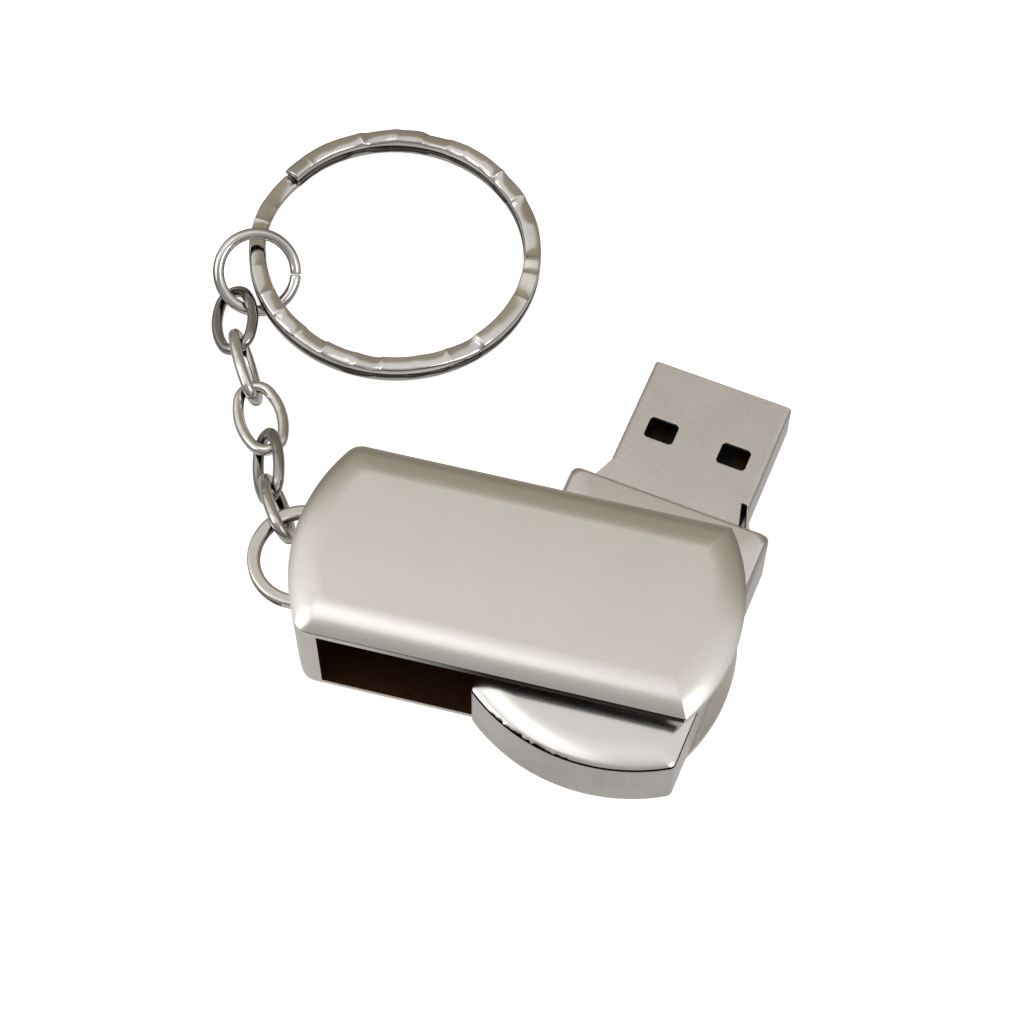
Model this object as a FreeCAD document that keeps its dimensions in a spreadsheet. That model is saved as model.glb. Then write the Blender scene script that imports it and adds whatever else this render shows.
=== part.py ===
import FreeCAD, Part
import math
import os
import Sketcher
from FreeCAD import Placement, Rotation, Vector

# A swivel flash drive on a key chain, in millimetres.
# Row frame: the origin is on the swivel axis, at the cover's bottom face. +Z is up,
# +X runs along the cover towards its open end, and the end post is at -X.
# The drive body is modelled with its plug along +X and then turned about the swivel axis.

os.makedirs("parts", exist_ok=True)
doc = FreeCAD.newDocument("swivel_flash_drive")

# ---------------------------------------------------------------- driving dimensions
SIZES = {
    # cover outline: two straight sides and two bulging ends
    "cover_width": 17.0,
    "cover_post_tip": 26.6,
    "cover_open_tip": 9.5,
    "end_radius": 15.2,
    # cover levels, bottom to top
    "floor_top": 1.4,
    "leaf_bottom": 9.4,
    "leaf_top": 9.95,
    "cap_bottom": 10.15,
    "cap_top": 11.15,
    "seam_depth": 0.3,
    "bevel_radius": 4.4,
    "floor_round": 1.2,
    "post_corner": 1.5,
    "post_swing_radius": 24.1,
    # eye for the chain
    "eye_bottom": 4.7,
    "eye_top": 5.7,
    "eye_reach": 4.45,
    "eye_half_width": 4.6,
    "eye_strip": 1.05,
    "eye_centre": 26.4,
    # drive body
    "body_width": 17.0,
    "body_shoulder": 10.9,
    "body_rear_tip": 13.2,
    "body_bottom": 1.85,
    "body_seam": 8.0,
    "body_top": 8.6,
    "body_wall": 0.9,
    "body_floor": 0.7,
    "tray_edge": 0.65,
    "lid_bevel": 2.0,
    "lid_edge": 0.5,
    # swivel
    "pivot_radius": 1.5,
    "pivot_play": 0.05,
    "pivot_head_radius": 2.6,
    "pivot_head_thick": 0.5,
    "boss_radius": 3.2,
    "boss_drop": 0.3,
    "washer_radius": 4.0,
    "washer_thick": 0.41,
    "upper_washer_thick": 0.76,
    # plug
    "plug_width": 12.0,
    "plug_thick": 4.5,
    "plug_level": 5.475,
    "plug_tip": 22.9,
    "plug_back": 5.2,
    "plug_sheet": 0.3,
    "plug_flare": 0.7,
    "plug_flare_run": 2.1,
    "latch_width": 2.5,
    "latch_run": 2.0,
    "latch_setback": 6.05,
    "latch_offset": 3.15,
    "latch_corner": 0.35,
    "tongue_thick": 1.9,
    "contact_thick": 0.2,
    "contact_width": 1.0,
    # board and packages
    "board_thick": 0.8,
    "board_width": 14.6,
    "board_back": 10.6,
    "board_front": 5.1,
    # chain and rings
    "link_wire": 1.0,
    "link_half_length": 3.27,
    "link_half_width": 1.78,
    "link_end_radius": 1.4,
    "jump_radius": 3.35,
    "jump_wire": 1.0,
    "ring_radius": 12.05,
    "ring_strip": 1.5,
    "ring_turn": 0.95,
    "ring_pitch": 1.0,
}

sheet = doc.addObject("Spreadsheet::Sheet", "sizes")
for row, (alias, value) in enumerate(SIZES.items(), start=1):
    sheet.set("A%d" % row, alias)
    sheet.set("B%d" % row, str(value))
    sheet.setAlias("B%d" % row, alias)
doc.recompute()


def size(alias):
    """A driving dimension, read back from the sheet."""
    return float(sheet.get(alias))


# Rest pose of the drive body, turned about the swivel axis.
SWIVEL_REST = Rotation(Vector(0, 0, 1), 81.5)
BODY_POSE = Placement(Vector(0, 0, 0), SWIVEL_REST)

# Chain links, from the eye to the jump ring: centre, heading, slope and roll in degrees.
LINK_POSES = [
    ((-29.81, 4.15, 4.38), -61.4, 20.3, 111.6),
    ((-31.96, 8.44, 3.03), -66.8, 11.7, 57.5),
    ((-34.05, 13.00, 2.47), -58.8, 3.5, 1.8),
    ((-36.80, 17.64, 2.22), -60.7, 1.5, 106.5),
    ((-39.25, 22.31, 1.50), -68.4, 11.0, 24.5),
]
JUMP_CENTRE = Vector(-38.59, 27.04, 2.30)
JUMP_HEADING = 124.4
JUMP_TILT = 32.2
JUMP_GAP_ANGLE = 250.0
JUMP_GAP = 3.0

# Split ring: centre, where it rests on the jump ring, and how far that lifts it.
RING_CENTRE = Vector(-27.7, 32.5, 0.0)
RING_LIFT_HEADING = 215.0
RING_LIFT = 1.2
RING_END_ANGLE = 155.0
RING_CROSSOVER = 40.0

nodes = []


# ---------------------------------------------------------------- helpers
def keep(obj, label, placement=None):
    """Give an object its node name and place, and list it for export."""
    obj.Label = label
    if placement is not None:
        obj.Placement = placement
    nodes.append(obj)
    return obj


def bind(obj, **formulas):
    """Tie properties of an object to cells of the sheet."""
    for name, formula in formulas.items():
        obj.setExpression(name, formula)
    return obj


def new_body(name):
    return doc.addObject("PartDesign::Body", name)


def plane_of(body, role):
    """One of the body's own origin planes."""
    for feature in body.Origin.OriginFeatures:
        if feature.Role == role:
            return feature
    raise ValueError(role)


def new_sketch(body, name, level="0", role="XY_Plane"):
    """A sketch on one of the body's planes, lifted along its normal to a level formula."""
    sketch = body.newObject("Sketcher::SketchObject", name)
    sketch.AttachmentSupport = (plane_of(body, role), [""])
    sketch.MapMode = "FlatFace"
    sketch.setExpression("AttachmentOffset.Base.z", level)
    return sketch


def fix(sketch, kind, *where, name=None, value=0.0, formula=None):
    """Add a dimension to a sketch and bind it to a formula."""
    index = sketch.addConstraint(Sketcher.Constraint(kind, *where, value))
    sketch.renameConstraint(index, name)
    sketch.setExpression("Constraints." + name, formula)


def chain_up(sketch, count):
    """Join the end of each of the first curves to the start of the next one."""
    for i in range(count):
        sketch.addConstraint(Sketcher.Constraint("Coincident", i, 2, (i + 1) % count, 1))


def arc(centre_x, radius, y0, y1, bulge):
    """An arc about a point on the X axis, anticlockwise from y0 to y1, bulging to +X or -X."""
    a0 = math.asin(y0 / radius)
    a1 = math.asin(y1 / radius)
    if bulge < 0:
        a0 = math.pi - a0
        a1 = math.pi - a1
    circle = Part.Circle(Vector(centre_x, 0, 0), Vector(0, 0, 1), radius)
    return Part.ArcOfCircle(circle, a0, a1)


def draw_cover_outline(body, name, level, grow, side_grow):
    """The cover's plan: straight sides and two arcs, grown outward by two formulas."""
    sketch = new_sketch(body, name, level)
    half = size("cover_width") / 2
    radius = size("end_radius")
    open_centre = size("cover_open_tip") - radius
    post_centre = radius - size("cover_post_tip")
    open_x = open_centre + math.sqrt(radius ** 2 - half ** 2)
    post_x = post_centre - math.sqrt(radius ** 2 - half ** 2)
    sketch.addGeometry([
        Part.LineSegment(Vector(post_x, -half, 0), Vector(open_x, -half, 0)),
        arc(open_centre, radius, -half, half, 1),
        Part.LineSegment(Vector(open_x, half, 0), Vector(post_x, half, 0)),
        arc(post_centre, radius, half, -half, -1)], False)
    chain_up(sketch, 4)
    sketch.addConstraint(Sketcher.Constraint("Horizontal", 0))
    sketch.addConstraint(Sketcher.Constraint("Symmetric", 0, 1, 2, 2, -1))
    sketch.addConstraint(Sketcher.Constraint("Symmetric", 0, 2, 2, 1, -1))
    fix(sketch, "DistanceY", 0, 1, 2, 2, name="width", value=2 * half,
        formula="sizes.cover_width + 2 * (%s)" % side_grow)
    fix(sketch, "DistanceX", 1, 3, -1, 1, name="open_centre", value=-open_centre,
        formula="sizes.end_radius - sizes.cover_open_tip")
    fix(sketch, "DistanceX", 3, 3, -1, 1, name="post_centre", value=-post_centre,
        formula="sizes.cover_post_tip - sizes.end_radius")
    fix(sketch, "Radius", 1, name="open_radius", value=radius,
        formula="sizes.end_radius + (%s)" % grow)
    fix(sketch, "Radius", 3, name="post_radius", value=radius, formula="sizes.end_radius")
    return sketch


def draw_body_outline(body, name, level, inset, rear_grow="0"):
    """The drive body's plan: a square shoulder in front and one arc behind."""
    sketch = new_sketch(body, name, level)
    half = size("body_width") / 2
    front = size("body_shoulder")
    radius = size("end_radius")
    centre = radius - size("body_rear_tip")
    rear_x = centre - math.sqrt(radius ** 2 - half ** 2)
    sketch.addGeometry([
        Part.LineSegment(Vector(rear_x, -half, 0), Vector(front, -half, 0)),
        Part.LineSegment(Vector(front, -half, 0), Vector(front, half, 0)),
        Part.LineSegment(Vector(front, half, 0), Vector(rear_x, half, 0)),
        arc(centre, radius, half, -half, -1)], False)
    chain_up(sketch, 4)
    sketch.addConstraint(Sketcher.Constraint("Horizontal", 0))
    sketch.addConstraint(Sketcher.Constraint("Symmetric", 0, 1, 2, 2, -1))
    sketch.addConstraint(Sketcher.Constraint("Symmetric", 0, 2, 2, 1, -1))
    fix(sketch, "DistanceY", 0, 1, 2, 2, name="width", value=2 * half,
        formula="sizes.body_width - 2 * (%s)" % inset)
    fix(sketch, "DistanceX", -1, 1, 0, 2, name="front", value=front,
        formula="sizes.body_shoulder - (%s)" % inset)
    fix(sketch, "DistanceX", -1, 1, 3, 3, name="rear_centre", value=centre,
        formula="sizes.end_radius - sizes.body_rear_tip")
    fix(sketch, "Radius", 3, name="rear_radius", value=radius,
        formula="sizes.end_radius - (%s) + (%s)" % (inset, rear_grow))
    return sketch


def draw_rectangle(body, name, level, x0, x1, half, role="XY_Plane"):
    """A rectangle centred on the sketch's X axis, from x0 to x1, each a formula."""
    sketch = new_sketch(body, name, level, role)
    sketch.addGeometry([
        Part.LineSegment(Vector(-30, -5, 0), Vector(30, -5, 0)),
        Part.LineSegment(Vector(30, -5, 0), Vector(30, 5, 0)),
        Part.LineSegment(Vector(30, 5, 0), Vector(-30, 5, 0)),
        Part.LineSegment(Vector(-30, 5, 0), Vector(-30, -5, 0))], False)
    chain_up(sketch, 4)
    sketch.addConstraint(Sketcher.Constraint("Horizontal", 0))
    sketch.addConstraint(Sketcher.Constraint("Vertical", 1))
    sketch.addConstraint(Sketcher.Constraint("Horizontal", 2))
    sketch.addConstraint(Sketcher.Constraint("Symmetric", 0, 1, 2, 2, -1))
    fix(sketch, "DistanceY", 0, 1, 2, 2, name="width", value=10, formula="2 * (%s)" % half)
    fix(sketch, "DistanceX", 0, 1, 0, 2, name="run", value=60,
        formula="(%s) - (%s)" % (x1, x0))
    fix(sketch, "DistanceX", 0, 1, -1, 1, name="start", value=30, formula="-(%s)" % x0)
    return sketch


def draw_circle(body, name, level, radius, x=0.0, y=0.0):
    sketch = new_sketch(body, name, level)
    sketch.addGeometry(Part.Circle(Vector(x, y, 0), Vector(0, 0, 1), 1.0), False)
    if x == 0.0 and y == 0.0:
        sketch.addConstraint(Sketcher.Constraint("Coincident", 0, 3, -1, 1))
    fix(sketch, "Radius", 0, name="radius", value=1.0, formula=radius)
    return sketch


def pad(body, sketch, length):
    feature = body.newObject("PartDesign::Pad", sketch.Name + "_pad")
    feature.Profile = sketch
    feature.setExpression("Length", length)
    return feature


def pocket(body, sketch, depth):
    """Cut upwards from a sketch, and make sure that the cut took material away."""
    doc.recompute()
    before = body.Shape.Volume
    feature = body.newObject("PartDesign::Pocket", sketch.Name + "_pocket")
    feature.Profile = sketch
    feature.Reversed = True
    feature.setExpression("Length", depth)
    doc.recompute()
    if not body.Shape.Volume < before:
        raise RuntimeError("%s cuts nothing" % feature.Name)
    return feature


def edges_at(shape, test):
    """Names of the edges whose middle point passes a test."""
    found = []
    for index, edge in enumerate(shape.Edges, start=1):
        middle = edge.valueAt((edge.FirstParameter + edge.LastParameter) / 2)
        if test(edge, middle):
            found.append("Edge%d" % index)
    return found


def fillet(body, base, names, radius):
    feature = body.newObject("PartDesign::Fillet", base.Name + "_fillet")
    feature.Base = (base, names)
    feature.setExpression("Radius", radius)
    doc.recompute()
    return feature


def is_upright(edge):
    box = edge.BoundBox
    return box.ZLength > 1 and max(box.XLength, box.YLength) < 1e-4


def is_post_corner(edge, middle):
    """True for an upright edge at the post end of the cover."""
    return middle.x < -20 and is_upright(edge)


def is_flat_at(edge, level):
    """True when the whole edge lies at one level."""
    box = edge.BoundBox
    return abs(box.ZMin - level) < 1e-4 and abs(box.ZMax - level) < 1e-4


def box(name, x, y, z, centre_x, centre_y, bottom):
    """A Part::Box bound to formulas: full sizes, then centre in plan and bottom level."""
    solid = doc.addObject("Part::Box", name)
    bind(solid, Length=x, Width=y, Height=z)
    solid.setExpression("Placement.Base.x", "(%s) - (%s) / 2" % (centre_x, x))
    solid.setExpression("Placement.Base.y", "(%s) - (%s) / 2" % (centre_y, y))
    solid.setExpression("Placement.Base.z", bottom)
    return solid


def cylinder(name, radius, height, bottom):
    solid = doc.addObject("Part::Cylinder", name)
    bind(solid, Radius=radius, Height=height)
    solid.setExpression("Placement.Base.z", bottom)
    return solid


def boolean(kind, name, base, tools):
    """A Part::Cut of two objects, or a Part::MultiFuse of many."""
    if kind == "cut":
        result = doc.addObject("Part::Cut", name)
        result.Base = base
        result.Tool = tools[0] if len(tools) == 1 else boolean("fuse", name + "_tools", None, tools)
        return result
    result = doc.addObject("Part::MultiFuse", name)
    result.Shapes = tools
    return result


# How far a bevel arc stands inside its outline where it is cut off.
CAP_INSET = ("(sizes.bevel_radius - sqrt(sizes.bevel_radius ^ 2"
             " - (sizes.bevel_radius - sizes.cap_top + sizes.cap_bottom) ^ 2))")
LID_INSET = ("(sizes.lid_bevel - sqrt(sizes.lid_bevel ^ 2"
             " - (sizes.lid_bevel - sizes.body_top + sizes.body_seam) ^ 2))")
BLANK_HEIGHT = "(sizes.bevel_radius + 0.6)"


# ---------------------------------------------------------------- cover
def make_cover_frame():
    """Bottom leaf, end post, top leaf and eye in one piece."""
    body = new_body("cover_frame_body")
    blank = pad(body, draw_cover_outline(body, "cover_outline", "0", "0", "0"),
                "sizes.leaf_top")
    doc.recompute()
    upright = fillet(body, blank, edges_at(blank.Shape, is_post_corner), "sizes.post_corner")
    rim = edges_at(upright.Shape, lambda edge, middle: is_flat_at(edge, 0.0))
    fillet(body, upright, rim, "sizes.floor_round")
    # the stowing space is open on three sides and ends at the arc that the plug's corners sweep
    cavity = new_sketch(body, "cavity", "sizes.floor_top")
    swing = size("post_swing_radius")
    reach = 12.0
    mouth = 14.0
    start_x = -math.sqrt(swing ** 2 - reach ** 2)
    circle = Part.Circle(Vector(0, 0, 0), Vector(0, 0, 1), swing)
    cavity.addGeometry([
        Part.LineSegment(Vector(start_x, -reach, 0), Vector(mouth, -reach, 0)),
        Part.LineSegment(Vector(mouth, -reach, 0), Vector(mouth, reach, 0)),
        Part.LineSegment(Vector(mouth, reach, 0), Vector(start_x, reach, 0)),
        Part.ArcOfCircle(circle, math.pi - math.asin(reach / swing),
                         math.pi + math.asin(reach / swing))], False)
    chain_up(cavity, 4)
    cavity.addConstraint(Sketcher.Constraint("Coincident", 3, 3, -1, 1))
    fix(cavity, "Radius", 3, name="swing", value=swing, formula="sizes.post_swing_radius")
    pocket(body, cavity, "sizes.leaf_bottom - sizes.floor_top")
    # a narrower neck under the cap leaves the dark seam line
    neck = draw_cover_outline(body, "neck", "sizes.leaf_top", "-sizes.seam_depth",
                              "-sizes.seam_depth")
    neck.setExpression("Constraints.post_radius", "sizes.end_radius - sizes.seam_depth")
    pad(body, neck, "sizes.cap_bottom - sizes.leaf_top")
    pocket(body, draw_circle(body, "upper_hole", "sizes.leaf_bottom - 0.01",
                             "sizes.pivot_radius"), "1.0")
    pocket(body, draw_circle(body, "lower_hole", "sizes.floor_top - 1.0",
                             "sizes.pivot_radius"), "1.01")
    # the eye: a flat half-oval strip that grows out of the post
    eye = new_sketch(body, "eye", "sizes.eye_bottom")
    strip = size("eye_strip")
    for inset in (0.0, strip):
        across = size("eye_half_width") - inset
        along = size("eye_reach") - inset
        centre = Vector(-size("eye_centre"), 0, 0)
        foot = size("eye_centre") - 0.9
        oval = Part.Ellipse(centre + Vector(0, across, 0), centre + Vector(-along, 0, 0), centre)
        eye.addGeometry([
            Part.ArcOfEllipse(oval, 0, math.pi),
            Part.LineSegment(centre + Vector(0, -across, 0), Vector(-foot, -across, 0)),
            Part.LineSegment(Vector(-foot, -across, 0), Vector(-foot, across, 0)),
            Part.LineSegment(Vector(-foot, across, 0), centre + Vector(0, across, 0))], False)
    ring = pad(body, eye, "sizes.eye_top - sizes.eye_bottom")
    doc.recompute()
    outer_x = -size("eye_centre") - 1.0
    rims = edges_at(ring.Shape, lambda edge, middle: middle.x < outer_x and (
        is_flat_at(edge, size("eye_top")) or is_flat_at(edge, size("eye_bottom"))))
    rounded = fillet(body, ring, rims, "sizes.eye_strip * 0.24")
    body.Tip = rounded
    return keep(body, "cover_frame")


def make_top_cap():
    """The brushed face plate: a flat field with a wide soft bevel all round."""
    body = new_body("top_cap_body")
    outline = draw_cover_outline(body, "cap_outline", "sizes.cap_top - " + BLANK_HEIGHT,
                                 CAP_INSET, CAP_INSET)
    outline.setExpression("Constraints.post_radius", "sizes.end_radius + " + CAP_INSET)
    blank = pad(body, outline, BLANK_HEIGHT)
    doc.recompute()
    corners = edges_at(blank.Shape, is_post_corner)
    upright = fillet(body, blank, corners, "sizes.post_corner + " + CAP_INSET)
    rim = edges_at(upright.Shape, lambda edge, middle: is_flat_at(edge, size("cap_top")))
    fillet(body, upright, rim, "sizes.bevel_radius")
    waste = draw_rectangle(body, "waste", "sizes.cap_top - " + BLANK_HEIGHT + " - 1",
                           "-40", "20", "20")
    body.Tip = pocket(body, waste, BLANK_HEIGHT + " + 1 - sizes.cap_top + sizes.cap_bottom")
    return keep(body, "top_cap_plate")


# ---------------------------------------------------------------- swivel
def make_rivet(name, head_bottom, shank_bottom, shank_height):
    """A short rivet: a flat head inside the drive body and a shank that stands in a leaf."""
    head = cylinder(name + "_head", "sizes.pivot_head_radius", "sizes.pivot_head_thick",
                    head_bottom)
    shank = cylinder(name + "_shank", "sizes.pivot_radius", shank_height, shank_bottom)
    return keep(boolean("fuse", name + "_solid", None, [head, shank]), name)


def make_washer(name, bottom, thickness):
    disc = cylinder(name + "_disc", "sizes.washer_radius", thickness, bottom)
    hole = cylinder(name + "_hole", "sizes.pivot_radius + 2 * sizes.pivot_play",
                    thickness + " + 2", bottom + " - 1")
    return keep(boolean("cut", name + "_solid", disc, [hole]), name)


LID_HEAD_TOP = "(sizes.body_seam - sizes.boss_drop - sizes.pivot_play)"
TRAY_INSIDE = "(sizes.body_bottom + sizes.body_floor)"
BOARD_TOP = "(sizes.plug_level - 0.03)"
BOARD_BOTTOM = "(sizes.plug_level - 0.03 - sizes.board_thick)"


def make_swivel():
    make_rivet("upper_pivot_rivet", LID_HEAD_TOP + " - sizes.pivot_head_thick",
               LID_HEAD_TOP + " - sizes.pivot_head_thick",
               "sizes.cap_bottom - 0.02 - " + LID_HEAD_TOP + " + sizes.pivot_head_thick")
    make_rivet("lower_pivot_rivet", TRAY_INSIDE + " + sizes.pivot_play",
               "sizes.floor_top - 0.95", TRAY_INSIDE + " + sizes.pivot_play + 0.1"
               " - sizes.floor_top + 0.95")
    make_washer("upper_friction_washer", "sizes.body_top + 0.02", "sizes.upper_washer_thick")
    make_washer("lower_friction_washer", "sizes.floor_top + 0.02", "sizes.washer_thick")


# ---------------------------------------------------------------- drive body
def make_tray():
    """Lower half of the drive body: floor, upright wall, and four pegs for the board."""
    body = new_body("body_tray_body")
    blank = pad(body, draw_body_outline(body, "tray_outline", "sizes.body_bottom", "0"),
                "sizes.body_seam - sizes.body_bottom")
    doc.recompute()
    bottom = size("body_bottom")
    rounded = edges_at(blank.Shape, lambda edge, middle: is_flat_at(edge, bottom)
                       or is_upright(edge))
    fillet(body, blank, rounded, "sizes.tray_edge")
    pocket(body, draw_body_outline(body, "tray_inside", TRAY_INSIDE, "sizes.body_wall"),
           "sizes.body_seam - sizes.body_bottom")
    pocket(body, draw_rectangle(body, "plug_notch", "sizes.plug_level - sizes.plug_thick / 2"
                                " - 0.03", "8", "sizes.body_shoulder + 1",
                                "sizes.plug_width / 2 + 0.05"), "10")
    pocket(body, draw_circle(body, "tray_hole", "sizes.body_bottom - 0.01",
                             "sizes.pivot_radius + sizes.pivot_play"),
           "sizes.body_floor + 0.02")
    feature = None
    for name, x, y in (("peg_1", -9.6, 6.5), ("peg_2", -9.6, -6.5), ("peg_3", 3.2, 6.9),
                       ("peg_4", 3.2, -6.9)):
        peg = draw_circle(body, name, TRAY_INSIDE + " - 0.1", "0.55", x, y)
        feature = pad(body, peg, BOARD_BOTTOM + " + 0.1 - " + TRAY_INSIDE)
        doc.recompute()
    body.Tip = feature
    return keep(body, "body_tray", BODY_POSE)


def make_lid():
    """Upper half: a plate with a wide bevel behind, a pivot boss and a locating lip."""
    body = new_body("body_lid_body")
    blank_bottom = "(sizes.body_top - sizes.lid_bevel - 0.4)"
    blank = pad(body, draw_body_outline(body, "lid_outline", blank_bottom, "0", LID_INSET),
                "sizes.body_top - " + blank_bottom)
    doc.recompute()
    front = size("body_shoulder")
    corners = edges_at(blank.Shape, lambda edge, middle: abs(middle.x - front) < 1e-4
                       and is_upright(edge))
    upright = fillet(body, blank, corners, "sizes.tray_edge")
    top = size("body_top")
    rear = edges_at(upright.Shape, lambda edge, middle: is_flat_at(edge, top)
                    and middle.x < -11)
    bevel = fillet(body, upright, rear, "sizes.lid_bevel")
    sides = edges_at(bevel.Shape, lambda edge, middle: is_flat_at(edge, top)
                     and middle.x > -9)
    fillet(body, bevel, sides, "sizes.lid_edge")
    waste = draw_rectangle(body, "lid_waste", blank_bottom + " - 1", "-30", "30", "20")
    pocket(body, waste, "sizes.body_seam + 1 - " + blank_bottom)
    pad(body, draw_circle(body, "boss", "sizes.body_seam - sizes.boss_drop",
                          "sizes.boss_radius"), "sizes.boss_drop + 0.1")
    lip_level = "sizes.body_seam - 0.4"
    pad(body, draw_body_outline(body, "lip", lip_level, "sizes.body_wall + 0.05"),
        "0.45")
    hollow = draw_body_outline(body, "lip_inside", lip_level, "sizes.body_wall + 0.55")
    hollow.addGeometry(Part.Circle(Vector(0, 0, 0), Vector(0, 0, 1), 3.2), False)
    hollow.addConstraint(Sketcher.Constraint("Coincident", 4, 3, -1, 1))
    fix(hollow, "Radius", 4, name="boss", value=3.2, formula="sizes.boss_radius")
    pocket(body, hollow, "0.4")
    pocket(body, draw_circle(body, "boss_trim", lip_level, "sizes.boss_radius"),
           "0.4 - sizes.boss_drop")
    pocket(body, draw_rectangle(body, "plug_room", lip_level, "4.5", "14",
                                "sizes.plug_width / 2 + 0.3"), "0.4")
    body.Tip = pocket(body, draw_circle(body, "lid_hole", lip_level,
                                        "sizes.pivot_radius + sizes.pivot_play"), "2")
    return keep(body, "body_lid", BODY_POSE)


# ---------------------------------------------------------------- plug
PLUG_BOTTOM = "(sizes.plug_level - sizes.plug_thick / 2)"
CONTACT_ROWS = (("left", 3.5, 21.9), ("mid_left", 1.0, 20.9), ("mid_right", -1.0, 20.9),
                ("right", -3.5, 21.9))


def make_plug_shell():
    """A folded sheet tube with square latch holes and a root that flares at the shoulder."""
    body = new_body("plug_shell_body")
    outer = draw_rectangle(body, "tube", PLUG_BOTTOM, "sizes.plug_back", "sizes.plug_tip",
                           "sizes.plug_width / 2")
    tube = pad(body, outer, "sizes.plug_thick")
    doc.recompute()
    long_edges = edges_at(tube.Shape, lambda edge, middle: edge.BoundBox.XLength > 5)
    fillet(body, tube, long_edges, "sizes.plug_sheet * 1.6")
    # the root spreads over its last stretch
    flare = new_sketch(body, "flare", PLUG_BOTTOM + " + 0.45")
    shoulder = size("body_shoulder") + 0.05
    start = size("body_shoulder") + size("plug_flare_run")
    half = size("plug_width") / 2
    spread = half + size("plug_flare")
    outline = [Vector(shoulder, -spread, 0), Vector(start, -half + 0.15, 0),
               Vector(start, half - 0.15, 0), Vector(shoulder, spread, 0)]
    flare.addGeometry([Part.LineSegment(outline[i], outline[(i + 1) % 4])
                       for i in range(4)], False)
    pad(body, flare, "sizes.plug_thick - 0.5")
    inside = draw_rectangle(body, "inside", PLUG_BOTTOM + " + sizes.plug_sheet",
                            "sizes.plug_back - 1", "sizes.plug_tip + 1",
                            "sizes.plug_width / 2 - sizes.plug_sheet")
    pocket(body, inside, "sizes.plug_thick - 2 * sizes.plug_sheet")
    for side, name in ((1, "left"), (-1, "right")):
        latch = new_sketch(body, "latch_" + name, PLUG_BOTTOM + " - 1")
        x0 = size("plug_tip") - size("latch_setback") - size("latch_run") / 2
        y0 = side * size("latch_offset") - size("latch_width") / 2
        corners = [Vector(x0, y0, 0), Vector(x0 + size("latch_run"), y0, 0),
                   Vector(x0 + size("latch_run"), y0 + size("latch_width"), 0),
                   Vector(x0, y0 + size("latch_width"), 0)]
        latch.addGeometry([Part.LineSegment(corners[i], corners[(i + 1) % 4])
                           for i in range(4)], False)
        window = pocket(body, latch, "sizes.plug_thick + 2")
    # the windows' corners are round
    window_x = size("plug_tip") - size("latch_setback")
    window_half = size("latch_run") / 2
    side_wall = size("plug_width") / 2 - 1
    corners = edges_at(window.Shape, lambda edge, middle: abs(middle.y) < side_wall
                       and abs(abs(middle.x - window_x) - window_half) < 1e-3
                       and edge.BoundBox.ZLength > size("plug_sheet") / 2)
    fillet(body, window, corners, "sizes.latch_corner")
    # relief slit between the flare and the broad side
    slit = new_sketch(body, "slit", "sizes.plug_level + 0.6")
    corners = [Vector(shoulder + 0.15, -6.35, 0), Vector(start + 0.1, -5.72, 0),
               Vector(start + 0.1, -5.22, 0), Vector(shoulder + 0.15, -5.72, 0)]
    slit.addGeometry([Part.LineSegment(corners[i], corners[(i + 1) % 4])
                      for i in range(4)], False)
    body.Tip = pocket(body, slit, "3")
    return keep(body, "plug_shell", BODY_POSE)


def make_insulator():
    """The tongue and the block that holds it in the back of the shell."""
    inner_bottom = "(" + PLUG_BOTTOM + " + sizes.plug_sheet + 0.02)"
    width = "sizes.plug_width - 2 * sizes.plug_sheet - 0.1"
    tongue = box("tongue", "sizes.plug_tip - 0.5 - sizes.plug_back - 0.1", width,
                 "sizes.tongue_thick", "(sizes.plug_tip - 0.5 + sizes.plug_back + 0.1) / 2",
                 "0", inner_bottom)
    block = box("tongue_block", "6.8", width, "sizes.plug_thick - 2 * sizes.plug_sheet - 0.06",
                "sizes.plug_back + 3.5", "0", inner_bottom)
    solid = boolean("fuse", "insulator_blank", None, [tongue, block])
    channels = [box("channel_" + name, "30", "sizes.contact_width + 0.04",
                    "sizes.contact_thick + 0.04", "12", str(y),
                    inner_bottom + " + sizes.tongue_thick")
                for name, y, tip in CONTACT_ROWS]
    cut = boolean("cut", "insulator_solid", solid, channels)
    return keep(cut, "plug_insulator", BODY_POSE)


def make_contacts():
    """Four strips on the tongue. The outer two reach further, so that power mates first."""
    level = "(" + PLUG_BOTTOM + " + sizes.plug_sheet + 0.02 + sizes.tongue_thick)"
    strips = [box("contact_" + name, "%s - 2.6" % tip, "sizes.contact_width",
                  "sizes.contact_thick", "(%s + 2.6) / 2" % tip, str(y), level)
              for name, y, tip in CONTACT_ROWS]
    group = doc.addObject("Part::Compound", "contacts")
    group.Links = strips
    return keep(group, "plug_contacts", BODY_POSE)


# ---------------------------------------------------------------- board and packages
def make_board():
    board = box("board_blank", "sizes.board_back + sizes.board_front", "sizes.board_width",
                "sizes.board_thick", "(sizes.board_front - sizes.board_back) / 2", "0",
                BOARD_BOTTOM)
    chamfer = doc.addObject("Part::Chamfer", "board_solid")
    doc.recompute()
    chamfer.Base = board
    back = -size("board_back")
    chamfer.Edges = [(index, 1.2, 1.2) for index, edge in enumerate(board.Shape.Edges, start=1)
                     if edge.BoundBox.ZLength > 0.5 and edge.BoundBox.XMin < back + 0.1]
    return keep(chamfer, "circuit_board", BODY_POSE)


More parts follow.
